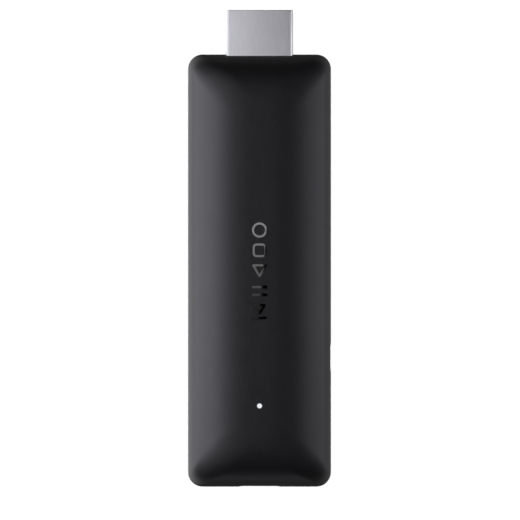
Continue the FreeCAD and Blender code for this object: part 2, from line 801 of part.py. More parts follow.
def bulk_capacitors():
    bodies = [slab(side * 4.4, -33.2, 2.8, 3.5, board_top, board_top + 1.9) for side in (-1, 1)]
    return group([b.makeChamfer(0.25, edges_at(b, "Z", board_top + 1.9)) for b in bodies])


def power_inductors():
    bodies = []
    for x in (-7.5, 7.5):
        for y in (-3.4, -8.4):
            coil = slab(x, y, 4, 4, board_top, board_top + 2.0)
            upright_edges = [e for e in coil.Edges if e.BoundBox.ZLength > 1]
            bodies.append(flipped(coil.makeFillet(0.5, upright_edges)))
    return group(bodies)


def crystals():
    cans = []
    for x, width, length in ((-6, 3.2, 2.5), (6, 2.0, 1.6)):
        can = slab(x, -15.5, width, length, board_top, board_top + 0.7)
        cans.append(flipped(can.makeFillet(0.15, edges_at(can, "Z", board_top + 0.7))))
    return group(cans)


# ---- Screws -------------------------------------------------------------------------------------

screw_head = 1.35
screw_head_height = 0.8
screw_length = 4.0
screw_major = 0.8
screw_minor = 0.62
thread_pitch = 0.5


def screw(x, y, seat):
    """A pan-head screw with a cross slot. Its thread is cut as plain rings."""
    profile = [(0, seat + screw_head_height), (screw_head * 0.6, seat + screw_head_height),
               (screw_head, seat + screw_head_height * 0.45), (screw_head, seat), (screw_minor, seat)]
    rings = int((screw_length - 1) / thread_pitch)
    for i in range(rings):
        top = seat - 0.4 - i * thread_pitch
        profile += [(screw_minor, top), (screw_major, top - thread_pitch * 0.45),
                    (screw_major, top - thread_pitch * 0.55), (screw_minor, top - thread_pitch)]
    profile += [(screw_minor * 0.5, seat - screw_length + 0.1), (0, seat - screw_length)]
    clean = [p for i, p in enumerate(profile) if i == 0 or p != profile[i - 1]]
    ring = [Vector(r, 0, z) for r, z in clean]
    body = Part.Face(Part.makePolygon(ring + ring[:1])).revolve(Vector(0, 0, 0), Vector(0, 0, 1), 360)
    body.translate(Vector(x, y, 0))
    slot_floor = seat + screw_head_height - 0.5
    slots = [slab(x, y, 0.35, 1.5, slot_floor, seat + 2), slab(x, y, 1.5, 0.35, slot_floor, seat + 2)]
    return cut_away(body, slots)


def board_screws():
    seats = [board_top + spreader_thick if y > 0 else board_top for _, y in screw_spots]
    return group([screw(x, y, seat) for (x, y), seat in zip(screw_spots, seats)])


# ---- Every node ---------------------------------------------------------------------------------

def build():
    outer = upper_pillow(0)
    capacitors, resistors, ends = chip_parts()
    right_antenna, left_antenna = both_sides(antenna())
    return {
        "top_cover": top_cover(outer),
        "bottom_cover": bottom_cover(),
        "front_marks": front_marks(outer),
        "rating_label": rating_label(),
        "light_pipe": light_pipe(),
        "hdmi_shell": hdmi_shell(),
        "hdmi_insulator": hdmi_insulator(),
        "hdmi_upper_contacts": group([hdmi_contact(x) for x in upper_contacts]),
        "hdmi_lower_contacts": group([flipped(hdmi_contact(x)) for x in lower_contacts]),
        "usb_shell": usb_shell(),
        "usb_tongue": usb_tongue(),
        "usb_contacts": group([usb_contact(x) for x in socket_contacts]),
        "reset_button": reset_button(),
        "switch_housing": switch_housing(),
        "switch_cover": switch_cover(),
        "switch_plunger": switch_plunger(),
        "switch_dome": switch_dome(),
        "switch_terminals": switch_terminals(),
        "led_body": slab(0, light_y, 1.6, led_width, board_top, led_body_top),
        "led_lens": slab(0, light_y, 1.2, led_width - 0.06, led_body_top, led_lens_top),
        "main_board": main_board(),
        "processor": processor(),
        "memory_chips": memory_chips(),
        "flash_chip": flash_chip(),
        "power_chips": power_chips(),
        "signal_chips": signal_chips(),
        "inner_pads": inner_pads(),
        "shield_frame": shield_frame(),
        "shield_lid": shield_lid(),
        "upper_pad": upper_pad(),
        "upper_spreader": upper_spreader(),
        "lower_pad": lower_pad(),
        "lower_spreader": lower_spreader(),
        "ground_springs": ground_springs(),
        "radio_module": radio_module(),
        "radio_can": radio_can(),
        "left_antenna": left_antenna,
        "right_antenna": right_antenna,
        "chip_capacitors": capacitors,
        "chip_resistors": resistors,
        "chip_part_ends": ends,
        "bulk_capacitors": bulk_capacitors(),
        "power_inductors": power_inductors(),
        "crystals": crystals(),
        "board_screws": board_screws(),
    }


for node, shape in build().items():
    shape.exportStep(f"parts/{node}.step")
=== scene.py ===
"""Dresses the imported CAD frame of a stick-shaped streaming media player.

The pieces that show are rebuilt here as clean meshes: both halves of the case, the HDMI plug's shell, the
power socket's shell, the button's cap, the light's window, the inlaid marks and the label. So is the
switch's snap leaf, which bends. The rest stay CAD nodes with procedural materials. Shapes are in
millimetres, and become metres as a mesh is made. +X runs across the case, +Y towards the HDMI plug and +Z
up, and the origin is the centre of the rest face.
"""

import json
import math

import bmesh
import bpy
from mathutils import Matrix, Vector

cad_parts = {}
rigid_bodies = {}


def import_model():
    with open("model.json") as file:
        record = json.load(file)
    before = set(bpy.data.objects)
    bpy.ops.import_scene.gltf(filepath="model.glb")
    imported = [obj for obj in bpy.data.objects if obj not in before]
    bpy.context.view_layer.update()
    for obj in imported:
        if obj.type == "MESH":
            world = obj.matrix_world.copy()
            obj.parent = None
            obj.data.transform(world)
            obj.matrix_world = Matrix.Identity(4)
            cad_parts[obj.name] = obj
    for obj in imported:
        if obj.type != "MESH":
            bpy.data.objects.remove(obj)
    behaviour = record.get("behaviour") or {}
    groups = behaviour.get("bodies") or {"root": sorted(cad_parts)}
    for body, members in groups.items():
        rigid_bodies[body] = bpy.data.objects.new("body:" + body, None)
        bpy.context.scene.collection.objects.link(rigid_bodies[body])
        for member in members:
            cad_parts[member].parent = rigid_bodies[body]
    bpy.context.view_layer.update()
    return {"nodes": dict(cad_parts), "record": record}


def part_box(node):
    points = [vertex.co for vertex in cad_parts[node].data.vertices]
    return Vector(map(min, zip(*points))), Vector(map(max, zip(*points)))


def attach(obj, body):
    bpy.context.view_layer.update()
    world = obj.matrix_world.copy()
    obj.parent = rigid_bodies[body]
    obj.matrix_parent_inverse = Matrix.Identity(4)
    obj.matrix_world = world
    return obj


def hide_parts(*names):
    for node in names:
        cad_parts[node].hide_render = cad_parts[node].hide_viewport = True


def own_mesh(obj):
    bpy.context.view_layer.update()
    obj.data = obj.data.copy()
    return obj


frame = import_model()

# ---- Sizes, in millimetres ----------------------------------------------------------------------

MM = 0.001
AXIS = 0.02                               # the radius at which a lathed profile starts and ends


def box_mm(node):
    low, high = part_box(node)
    return low / MM, high / MM


top_low, top_high = box_mm("top_cover")
plug_low, plug_high = box_mm("hdmi_shell")
socket_low, socket_high = box_mm("usb_shell")
button_low, button_high = box_mm("reset_button")
pipe_low, pipe_high = box_mm("light_pipe")
label_low, label_high = box_mm("rating_label")
marks_low = box_mm("front_marks")[0]
leaf_low, leaf_high = box_mm("switch_dome")

HALF_X, HALF_Y = top_high.x, top_high.y
MID_Z = top_low.z
HALF_Z = top_high.z - MID_Z
TOP_Z = top_high.z

CASE_CORNER = 3.0
WALL = 1.3
CROWN_FLAT, CROWN_ROLL = 1.5, 12.0        # the level strip's half width, and the fall towards each end
BASE_FLAT, BASE_ROLL = 6.0, 10.0
PILLOW_POWER = 2.5
STRIP_ROUNDNESS = 0.95                    # how round the level strip's ends are: 1 is half a circle
SEAM_DEPTH, SEAM_HEIGHT = 0.15, 0.12
LIP_OUTSET, LIP_HEIGHT, FIT_GAP = 0.77, 0.8, 0.05
EDGE = 0.06                               # rounding of moulded edges
BEND_STEPS = 6                            # steps in a small bend or rolled edge

PLUG_ROUND, PLUG_FOOT, PLUG_SIDE, PLUG_SHEET, PLUG_BACK = 0.65, 10.7, 2.75, 0.3, 39.2
PLUG_SEAM_HALF, WING_BEHIND, WING_BELOW, WING_ABOVE = 0.04, 0.5, 0.5, 1.5
LATCH_X, LATCH_BACK, LATCH_HALF_X, LATCH_HALF_Y, LATCH_ROUND = 3.0, 4.5, 0.9, 1.1, 0.2
SOCKET_WIDTH, SOCKET_HEIGHT, SOCKET_FOOT, SOCKET_SIDE = 7.4, 2.4, 5.8, 1.45
SOCKET_ROUND, SOCKET_SHEET, SOCKET_FLARE, SOCKET_LIP = 0.4, 0.25, 0.28, 0.35
SOCKET_HOLE_X, SOCKET_HOLE_Z, SOCKET_HOLE_ROUND = 4.15, 1.68, 0.8
SOCKET_TAB_ROWS, SOCKET_TAB_END, SOCKET_TAB_HALF = (-42.1, -40.1), 5.0, 0.5
SOCKET_PEG_X0, SOCKET_PEG_X1, SOCKET_PEG_HALF = 4.55, 4.85, 0.35
LIGHT_RADIUS, PIPE_FLANGE, PIPE_FLANGE_LOW, PIPE_FLANGE_TOP = 0.55, 1.2, 10.9, 11.65
LIGHT_Y = (pipe_low.y + pipe_high.y) / 2
BUTTON_Y = (button_low.y + button_high.y) / 2
BUTTON_HALF_Y, BUTTON_HALF_Z, BUTTON_CROWN = 3.0, 1.2, 0.35
FLANGE_HALF_Y, FLANGE_HALF_Z, FLANGE_ROUND, FLANGE_THICKNESS = 3.7, 1.7, 0.8, 0.63
POCKET_X0, POCKET_X1, POCKET_HALF_Y, POCKET_HALF_Z = 11.9, 13.5, 3.95, 1.95
MARK_PITCH, MARK_STROKE, MARK_HALF, MARK_GAP = 4.2, 0.5, 1.6, 0.03
LEAF_SHEET, LEAF_STEPS = 0.08, 12
LABEL_ROUND, LABEL_CLEARANCE = 0.85, 0.15


# ---- Mesh helpers -------------------------------------------------------------------------------

def piece_from(name, vertices, faces):
    """A mesh object from points in millimetres, with its normals outwards and smooth shading."""
    mesh = bpy.data.meshes.new(name)
    mesh.from_pydata([Vector(v) * MM for v in vertices], [], faces)
    piece = bpy.data.objects.new(name, mesh)
    bpy.context.scene.collection.objects.link(piece)
    tidy(piece)
    return piece


def tidy(piece, sharp_angle=32):
    """Merges doubled points, turns the faces outwards, and smooths all but the sharp edges."""
    work = bmesh.new()
    work.from_mesh(piece.data)
    bmesh.ops.remove_doubles(work, verts=work.verts, dist=0.0004 * MM)
    bmesh.ops.dissolve_degenerate(work, edges=work.edges, dist=0.0004 * MM)
    bmesh.ops.recalc_face_normals(work, faces=work.faces)
    for face in work.faces:
        face.smooth = True
    for edge in work.edges:
        edge.smooth = edge.calc_face_angle(0) < math.radians(sharp_angle)
    work.to_mesh(piece.data)
    work.free()


def skin(name, loops, ends="capped"):
    """Joins loops that have the same number of points, in order.

    The ends are capped with one face each, or joined to each other to make a ring.
    """
    count = len(loops[0])
    faces = []
    spans = len(loops) if ends == "joined" else len(loops) - 1
    for i in range(spans):
        near, far = i * count, (i + 1) % len(loops) * count
        for j in range(count):
            k = (j + 1) % count
            faces.append((near + j, near + k, far + k, far + j))
    if ends == "capped":
        faces.append(tuple(range(count)))
        faces.append(tuple(range((len(loops) - 1) * count, len(loops) * count)))
    return piece_from(name, [p for loop in loops for p in loop], faces)


def box_piece(x0, x1, y0, y1, z0, z1):
    corners = [(x0, y0), (x1, y0), (x1, y1), (x0, y1)]
    return skin("block", [[(x, y, z) for x, y in corners] for z in (z0, z1)])


def pair_of_boxes(x0, x1, y0, y1, z0, z1):
    """A box and its mirror image on the other side of the case."""
    return [box_piece(x0, x1, y0, y1, z0, z1), box_piece(-x1, -x0, y0, y1, z0, z1)]


def post(x, y, radius, z0, z1, bevel=0.0):
    """An upright round post, with its upper edge chamfered."""
    side = [(radius, z0), (radius, z1 - bevel), (radius - bevel, z1)]
    return lathe("post", [(AXIS, z0)] + side + [(AXIS, z1)], x, y)


def merged(pieces):
    """One object from pieces that don't touch."""
    work = bmesh.new()
    for piece in pieces:
        work.from_mesh(piece.data)
    work.to_mesh(pieces[0].data)
    work.free()
    for piece in pieces[1:]:
        bpy.data.objects.remove(piece)
    return pieces[0]


def applied(piece):
    """Bakes the piece's modifiers into its mesh."""
    made = bpy.data.meshes.new_from_object(piece.evaluated_get(bpy.context.evaluated_depsgraph_get()))
    piece.modifiers.clear()
    piece.data = made
    return piece


def combine(piece, others, operation):
    """Cuts the others from the piece, or adds or intersects them, and removes them."""
    for other in others:
        step = piece.modifiers.new(operation.lower(), "BOOLEAN")
        step.operation = operation
        step.solver = "EXACT"
        step.object = other
    applied(piece)
    for other in others:
        bpy.data.objects.remove(other)
    tidy(piece)
    return piece


def rounded_polygon(corners, radius, grow=0.0, steps=8):
    """A convex outline given anticlockwise, with its corners rounded, moved outwards by grow."""
    outline = []
    bend = max(radius + grow, 0.05)
    count = len(corners)
    for i in range(count):
        corner = Vector(corners[i])
        along = (corner - Vector(corners[i - 1])).normalized()
        onward = (Vector(corners[(i + 1) % count]) - corner).normalized()
        half_angle = (-along).angle(onward) / 2
        inward = (onward - along).normalized()
        centre = corner + inward * ((bend - grow) / math.sin(half_angle))
        start = math.atan2(-along.x, along.y)
        turn = (math.atan2(-onward.x, onward.y) - start) % (2 * math.pi)
        for k in range(steps + 1):
            angle = start + turn * k / steps
            outline.append(centre + bend * Vector((math.cos(angle), math.sin(angle))))
    return outline


def circle(radius, steps=48):
    return [Vector((radius * math.cos(2 * math.pi * k / steps), radius * math.sin(2 * math.pi * k / steps)))
            for k in range(steps)]


def rectangle_corners(half_u, half_v):
    return [(half_u, half_v), (-half_u, half_v), (-half_u, -half_v), (half_u, -half_v)]


def lathe(name, profile, x, y, steps=64):
    """A solid of revolution about an upright axis, from (radius, z) pairs that start and end near it."""
    return skin(name, [[(x + p.x, y + p.y, z) for p in circle(radius, steps)] for radius, z in profile])


# ---- The case's pillow form ---------------------------------------------------------------------

SIDE_STEPS, END_STEPS, CORNER_STEPS = 110, 26, 14
OUTER_LEVELS, INNER_LEVELS = 44, 22


def level_loop(half_x, half_y, radius, z):
    """A rounded rectangle at one level. It always has the same number of points."""
    centre_x, centre_y = half_x - radius, half_y - radius
    arcs = []
    for x, y, start in ((1, 1, 0), (-1, 1, 90), (-1, -1, 180), (1, -1, 270)):
        angles = [math.radians(start + 90 * k / CORNER_STEPS) for k in range(CORNER_STEPS + 1)]
        arcs.append([Vector((x * centre_x + radius * math.cos(a), y * centre_y + radius * math.sin(a), z))
                     for a in angles])
    loop = []
    for i, arc in enumerate(arcs):
        loop += arc
        steps = END_STEPS if i % 2 == 0 else SIDE_STEPS
        following = arcs[(i + 1) % 4][0]
        loop += [arc[-1].lerp(following, k / steps) for k in range(1, steps)]
    return loop


def inset_loop(inset, z):
    """The case's outline at the parting plane, shrunk by inset."""
    return level_loop(HALF_X - inset, HALF_Y - inset, max(CASE_CORNER - inset, 1.0), z)


def pillow_loop(inset, flat, roll, up, share):
    """One level of the pillow: share 0 is the parting plane, and 1 the level strip at the top or base."""
    angle = math.pi / 2 * share
    spread = max(math.cos(angle), 0) ** (2 / PILLOW_POWER) if share < 1 else 0
    reach_x, reach_y = HALF_X - inset, HALF_Y - inset
    sharpness = (CASE_CORNER - inset) / reach_x
    half_x = flat + (reach_x - flat) * spread
    half_y = reach_y - roll * (1 - spread)
    roundness = sharpness + (STRIP_ROUNDNESS - sharpness) * (1 - spread)
    z = MID_Z + up * (HALF_Z - inset) * math.sin(angle) ** (2 / PILLOW_POWER)
    return level_loop(half_x, half_y, half_x * roundness, z)


def pillow_levels(inset, flat, roll, up, count, beyond=0.0):
    """The levels from the strip to the parting plane, leaving out those nearer to it than beyond."""
    loops = [pillow_loop(inset, flat, roll, up, 1 - i / count) for i in range(count + 1)]
    return [loop for loop in loops if abs(loop[0].z - MID_Z) >= beyond]


def upper_shell():
    outer = pillow_levels(0, CROWN_FLAT, CROWN_ROLL, 1, OUTER_LEVELS, beyond=SEAM_HEIGHT + EDGE)
    seam_top = MID_Z + SEAM_HEIGHT
    rim = [inset_loop(0.0, seam_top + EDGE), inset_loop(EDGE * 0.3, seam_top + EDGE * 0.3),
           inset_loop(EDGE, seam_top), inset_loop(SEAM_DEPTH, seam_top), inset_loop(SEAM_DEPTH, MID_Z)]
    rebate = LIP_HEIGHT + FIT_GAP
    step = [inset_loop(LIP_OUTSET - FIT_GAP, MID_Z), inset_loop(LIP_OUTSET - FIT_GAP, MID_Z + rebate)]
    inner = pillow_levels(WALL, CROWN_FLAT, CROWN_ROLL, 1, INNER_LEVELS, beyond=rebate)[::-1]
    inner[0] = [Vector((p.x, p.y, MID_Z + rebate)) for p in inner[0]]
    return skin("case_upper", outer + rim + step + inner)


def lower_shell():
    outer = pillow_levels(0, BASE_FLAT, BASE_ROLL, -1, OUTER_LEVELS, beyond=EDGE)
    rim = [inset_loop(0.0, MID_Z - EDGE), inset_loop(EDGE * 0.3, MID_Z - EDGE * 0.3),
           inset_loop(EDGE, MID_Z)]
    lip_top = MID_Z + LIP_HEIGHT
    lip = [inset_loop(LIP_OUTSET, MID_Z), inset_loop(LIP_OUTSET, lip_top), inset_loop(WALL, lip_top)]
    inner = pillow_levels(WALL, BASE_FLAT, BASE_ROLL, -1, INNER_LEVELS)[::-1]
    return skin("case_lower", outer + rim + lip + inner)


def pillow_core(flat, roll, up):
    """The case's form at the middle of its wall: inner features are trimmed to it."""
    return skin("core", pillow_levels(WALL / 2, flat, roll, up, INNER_LEVELS))


# ---- Openings -----------------------------------------------------------------------------------

def keyed_outline(half_width, top, side, foot, radius, grow):
    """An outline with upright sides that narrows below them to a foot, as plug and socket have."""
    shoulder = top - side
    corners = [(half_width, top), (-half_width, top), (-half_width, shoulder),
               (-foot / 2, -top), (foot / 2, -top), (half_width, shoulder)]
    return rounded_polygon(corners, radius, grow)


def plug_outline(grow):
    half_height = (plug_high.z - plug_low.z) / 2
    return keyed_outline(plug_high.x, half_height, PLUG_SIDE, PLUG_FOOT, PLUG_ROUND, grow)


def socket_outline(grow):
    half_width, half_height = SOCKET_WIDTH / 2, SOCKET_HEIGHT / 2
    return keyed_outline(half_width, half_height, SOCKET_SIDE, SOCKET_FOOT, SOCKET_ROUND, grow)


def across(outline, y):
    """A 2-D outline stood up across the case at y."""
    return [(p.x, y, MID_Z + p.y) for p in outline]


def facing_side(outline, x):
    """A 2-D outline stood up along the case at x, centred on the button."""
    return [(x, BUTTON_Y + p.x, MID_Z + p.y) for p in outline]


def plug_hole():
    """A sleeve that closes in round the plug near the case's face."""
    back, inside, face = 39.5, 0.1, 0.03
    stations = [(back, inside), (HALF_Y - 1.0, inside), (HALF_Y - 0.8, face), (HALF_Y + 0.1, face)]
    return skin("plug_hole", [across(plug_outline(grow), y) for y, grow in stations])


def socket_hole():
    """The socket's opening, flared at the face."""
    corners = rectangle_corners(SOCKET_HOLE_X, SOCKET_HOLE_Z)
    stations = [(2 - HALF_Y, 0), (0.25 - HALF_Y, 0), (-HALF_Y - 0.3, 0.3)]
    outlines = [(rounded_polygon(corners, SOCKET_HOLE_ROUND, grow), y) for y, grow in stations]
    return skin("socket_hole", [across(outline, y) for outline, y in outlines])


def button_outline(grow):
    corners = rectangle_corners(BUTTON_HALF_Y, BUTTON_HALF_Z)
    return rounded_polygon(corners, BUTTON_HALF_Z - 0.01, grow, steps=14)


def button_holes():
    """The hole for the button's cap, flared at the face, and the pocket for its flange."""
    clearance, flare = 0.15, 0.3
    stations = [(HALF_X - 2.5, clearance), (HALF_X - 0.12, clearance), (HALF_X + 0.1, flare)]
    hole = skin("button_hole", [facing_side(button_outline(grow), x) for x, grow in stations])
    pocket = box_piece(POCKET_X0, POCKET_X1, BUTTON_Y - POCKET_HALF_Y, BUTTON_Y + POCKET_HALF_Y,
                       MID_Z - POCKET_HALF_Z, MID_Z + POCKET_HALF_Z)
    return [hole, pocket]


def label_form(name, clearance, levels):
    """A rounded slab in the label's place, larger all round by clearance, through (grow, z) levels."""
    size, middle = (label_high - label_low) / 2, (label_high + label_low) / 2
    corners = rectangle_corners(size.x + clearance, size.y + clearance)
    outlines = [(rounded_polygon(corners, LABEL_ROUND + clearance, grow), z) for grow, z in levels]
    return skin(name, [[(p.x, middle.y + p.y, z) for p in outline] for outline, z in outlines])


def label_recess():
    return label_form("label_recess", LABEL_CLEARANCE, [(0.2, -0.1), (0.0, 0.05), (0.0, label_high.z)])


def light_hole():
    """The hole for the light pipe, and the pocket for its flange.

    Its steps aren't those of the collar it cuts: with the same steps, the cut leaves open edges.
    """
    stem, flange, seat = LIGHT_RADIUS + FIT_GAP, PIPE_FLANGE + FIT_GAP, PIPE_FLANGE_TOP + FIT_GAP
    below_collar, flare = 9, 0.06
    rise = [(flange, below_collar), (flange, seat), (stem, seat), (stem, TOP_Z - flare),
            (stem + 2 * flare, TOP_Z + flare)]
    return lathe("light_hole", rise, 0, LIGHT_Y, steps=60)


# ---- The inlaid marks: ring, square, play, pause and skip ---------------------------------------

def upright_prism(name, outlines, place, z0, z1, soften=0.0):
    """Solid from one outline, or hollow from two, between two levels, with its upper rim softened."""
    levels = [(0.0, z0), (0.0, z1 - soften), (soften * 0.3, z1 - soften * 0.3), (soften, z1)]
    if soften == 0:
        levels = [(0.0, z0), (0.0, z1)]
    outer, inner = outlines[0], outlines[1] if len(outlines) > 1 else None
    loops = [[place(p, z) for p in outer(-shrink)] for shrink, z in levels]
    if inner is None:
        return skin(name, loops)
    loops += [[place(p, z) for p in inner(shrink)] for shrink, z in reversed(levels)]
    return skin(name, loops, ends="joined")


def mark_solids(grow, z0, z1, soften=0.0):
    """The seven solids of the five symbols, each grown by grow all round."""
    def placed(index):
        middle = (2 - index) * MARK_PITCH
        return lambda p, z: (p.y, middle - p.x, z)

    def frame_of(corners, radius):
        return [lambda g: rounded_polygon(corners, radius, grow + g),
                lambda g: rounded_polygon(corners, radius, g - grow - MARK_STROKE)]

    def bar(u0, u1, half):
        corners = [(u1, half), (u0, half), (u0, -half), (u1, -half)]
        return [lambda g: rounded_polygon(corners, 0.1, grow + g, steps=4)]

    def arrow(u0, u1, half):
        return frame_of([(u1, 0), (u0, half), (u0, -half)], 0.3)

    ring = [lambda g: circle(MARK_HALF + grow + g, 72),
            lambda g: circle(MARK_HALF - MARK_STROKE - grow + g, 72)]
    side = 1.45
    symbols = [("ring", 0, ring), ("square", 1, frame_of(rectangle_corners(side, side), 0.85)),
               ("play", 2, arrow(-1.35, 1.65, 1.75)),
               ("pause_a", 3, bar(-1.1, -0.5, MARK_HALF)), ("pause_b", 3, bar(0.5, 1.1, MARK_HALF)),
               ("skip_arrow", 4, arrow(-1.5, 0.95, 1.5)), ("skip_bar", 4, bar(1.15, 1.65, side))]
    return [upright_prism("mark_" + name, outlines, placed(index), z0, z1, soften)
            for name, index, outlines in symbols]


# ---- Fastenings and ribs inside the case --------------------------------------------------------

BOARD_HALF = 0.5
BOARD_BOTTOM, BOARD_TOP = MID_Z - BOARD_HALF, MID_Z + BOARD_HALF
SCREW_SPOTS = [(-9.8, 31.0), (9.8, 31.0), (-9.6, -27.5), (9.6, -27.5)]
PIN_SPOTS = [(10.2, -12.6), (-10.2, 24.5)]
HOOK_ROWS, HOOK_HALF, HOOK_X0, HOOK_X1 = (-31.0, -5.0, 21.0), 2.0, 11.4, 12.1
HOOK_FOOT, BARB_HEIGHT, BARB_REACH, BARB_SLOPE = 2.0, 0.7, 0.5, 0.5
CATCH_LOW, CATCH_TOP = 7.45, 8.05
REST_RIB_ROWS, REST_RIB_X, REST_RIB_HALF = (-37.0, -24.0, 9.0, 34.0), 11.5, 0.4
PLUG_WALL_X, PLUG_WALL_Y0, PLUG_WALL_Y1 = 9.5, 40.6, 41.6
SOCKET_WALL_X, SOCKET_WALL_Y0, SOCKET_WALL_Y1 = 5.0, -41.6, -40.8
LONG_RIB = (5.1, 5.9, -6.0, 24.0, 10.45)  # x0, x1, y0, y1 and the lower edge
BASE_RIB = (6.4, 7.2, 2.0, 19.5, 3.6)     # x0, x1, y0, y1 and the upper edge
COLLAR_RADIUS, COLLAR_LOW = 1.9, 10.4
BOSS_RADIUS, PILOT_RADIUS, PILOT_LOW = 1.75, 0.82, 2.4
PIN_BOSS_RADIUS, PIN_RADIUS, PIN_END = 1.3, 0.62, 0.5


def upper_fittings():
    """Two long ribs, the light pipe's collar, the walls behind plug and socket, and the hooks' catches."""
    fittings = pair_of_boxes(*LONG_RIB, TOP_Z)
    fittings.append(post(0, LIGHT_Y, COLLAR_RADIUS, COLLAR_LOW, TOP_Z))
    fittings.append(box_piece(-PLUG_WALL_X, PLUG_WALL_X, PLUG_WALL_Y0, PLUG_WALL_Y1, MID_Z, TOP_Z))
    fittings.append(box_piece(-SOCKET_WALL_X, SOCKET_WALL_X, SOCKET_WALL_Y0, SOCKET_WALL_Y1,
                              MID_Z + SOCKET_HEIGHT / 2 + FIT_GAP, TOP_Z))
    for y in HOOK_ROWS:
        fittings += pair_of_boxes(HOOK_X1 + 0.1, HALF_X, y - HOOK_HALF, y + HOOK_HALF, CATCH_LOW, CATCH_TOP)
    return combine(merged(fittings), [pillow_core(CROWN_FLAT, CROWN_ROLL, 1)], "INTERSECT")


def lower_fittings():
    """Screw bosses, pin bosses, the walls behind plug and socket, and the ribs that carry the board."""
    fittings = [post(x, y, BOSS_RADIUS, 0, BOARD_BOTTOM) for x, y in SCREW_SPOTS]
    fittings += [post(x, y, PIN_BOSS_RADIUS, 0, BOARD_BOTTOM) for x, y in PIN_SPOTS]
    fittings.append(box_piece(-PLUG_WALL_X, PLUG_WALL_X, PLUG_WALL_Y0, PLUG_WALL_Y1, 0, MID_Z))
    fittings.append(box_piece(-SOCKET_WALL_X, SOCKET_WALL_X, SOCKET_WALL_Y0, SOCKET_WALL_Y1,
                              0, MID_Z - SOCKET_HEIGHT / 2 - FIT_GAP))
    x0, x1, y0, y1, top = BASE_RIB
    fittings += pair_of_boxes(x0, x1, y0, y1, 0, top)
    for y in REST_RIB_ROWS:
        fittings += pair_of_boxes(REST_RIB_X, HALF_X, y - REST_RIB_HALF, y + REST_RIB_HALF, 0, BOARD_BOTTOM)
    return combine(merged(fittings), [pillow_core(BASE_FLAT, BASE_ROLL, -1)], "INTERSECT")


def hook(side, y):
    """A snap hook that rises past the board's edge, with its barb outwards over the upper half's catch."""
    barb_under = CATCH_TOP + FIT_GAP
    top, top_x, barb_x = barb_under + BARB_HEIGHT, HOOK_X1 - 0.1, HOOK_X1 + BARB_REACH
    profile = [(HOOK_X0, HOOK_FOOT), (HOOK_X0, top), (top_x, top), (barb_x, top - BARB_SLOPE),
               (barb_x, barb_under), (HOOK_X1, barb_under), (HOOK_X1, HOOK_FOOT)]
    return skin("hook", [[(side * x, y + along, z) for x, z in profile]
                         for along in (-HOOK_HALF, HOOK_HALF)])


def hooks_and_pins():
    risers = [hook(side, y) for y in HOOK_ROWS for side in (-1, 1)]
    risers += [post(x, y, PIN_RADIUS, BOARD_BOTTOM - PIN_END, BOARD_TOP + PIN_END, bevel=0.2)
               for x, y in PIN_SPOTS]
    return merged(risers)


# ---- Case halves --------------------------------------------------------------------------------

def make_case_upper():
    shell = combine(upper_shell(), [upper_fittings()], "UNION")
    recesses = mark_solids(MARK_GAP, marks_low.z, TOP_Z + 0.3)
    holes = [plug_hole(), socket_hole(), light_hole()] + button_holes()
    return combine(shell, holes + recesses, "DIFFERENCE")


def make_case_lower():
    shell = combine(lower_shell(), [lower_fittings(), hooks_and_pins()], "UNION")
    holes = [plug_hole(), socket_hole(), label_recess()] + button_holes()
    holes.append(merged([post(x, y, PILOT_RADIUS, PILOT_LOW, BOARD_TOP) for x, y in SCREW_SPOTS]))
    return combine(shell, holes, "DIFFERENCE")


# ---- HDMI plug ----------------------------------------------------------------------------------

def make_plug_shell():
    """A folded steel tube with a rolled front edge, a seam and two latch windows below, and two wings."""
    tip, back = plug_high.y, PLUG_BACK
    roll = PLUG_SHEET * 0.45
    outer = [(back, 0.0), (HALF_Y - 0.7, 0.0), (tip - roll, 0.0)]
    inner = []
    for k in range(1, BEND_STEPS + 1):
        angle = math.pi / 2 * k / BEND_STEPS
        outer.append((tip - roll + roll * math.sin(angle), roll * (math.cos(angle) - 1)))
        inner.append((tip - roll + roll * math.cos(angle), -PLUG_SHEET + roll * (1 - math.sin(angle))))
    stations = outer + inner + [(back, -PLUG_SHEET)]
    tube = skin("plug_shell", [across(plug_outline(grow), y) for y, grow in stations], ends="joined")
    wings = []
    for side in (-1, 1):
        x0, x1 = sorted((side * (plug_high.x - PLUG_SHEET), side * plug_high.x))
        wings.append(box_piece(x0, x1, plug_low.y, back + WING_BEHIND,
                               MID_Z - WING_BELOW, MID_Z + WING_ABOVE))
    combine(tube, wings, "UNION")
    narrow_face = plug_low.z + PLUG_SHEET + 0.1
    cuts = [box_piece(-PLUG_SEAM_HALF, PLUG_SEAM_HALF, back - 1, tip + 1, 0, narrow_face)]
    for side in (-1, 1):
        outline = rounded_polygon(rectangle_corners(LATCH_HALF_X, LATCH_HALF_Y), LATCH_ROUND)
        window = [[(side * LATCH_X + p.x, tip - LATCH_BACK + p.y, z) for p in outline]
                  for z in (0, narrow_face)]
        cuts.append(skin("latch_window", window))
    return combine(tube, cuts, "DIFFERENCE")


# ---- Power socket -------------------------------------------------------------------------------

